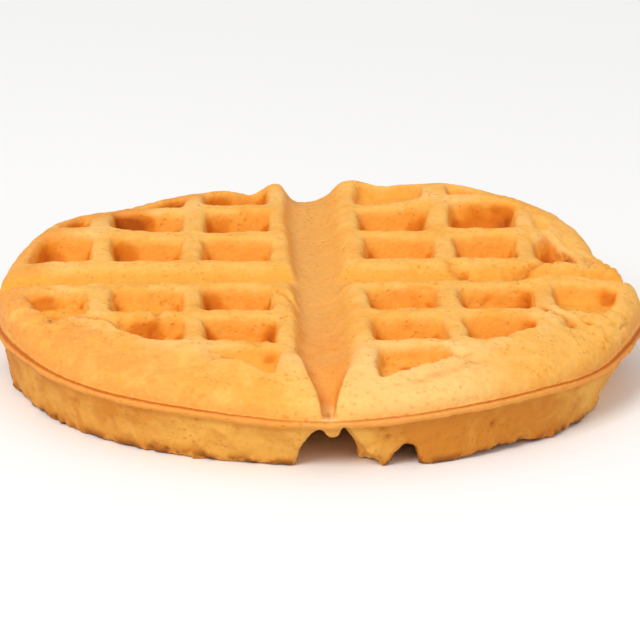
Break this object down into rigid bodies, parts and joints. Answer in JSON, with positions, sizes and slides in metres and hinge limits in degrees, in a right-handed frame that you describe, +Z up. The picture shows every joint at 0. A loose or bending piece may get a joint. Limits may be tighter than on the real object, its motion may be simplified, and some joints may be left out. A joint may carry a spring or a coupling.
{
  "type": "waffle",
  "caption": "Thick round waffle with square pockets on both faces, two crossing channels and a crust lip round its edge.",
  "frame": {"origin": "middle of the bounding box at the underside's ribs, where the waffle lies on a table", "axes": "+Z up out of the upper face, -Y towards the front where one channel runs out, +X to the right"},
  "size_m": [0.1788, 0.1796, 0.0306],
  "materials": {
    "crust": "golden baked batter, dry and softly matt, browner in the pockets and along the seam"
  },
  "bodies": {
    "root": {"waffle": "crust"}
  },
  "joints": []
}
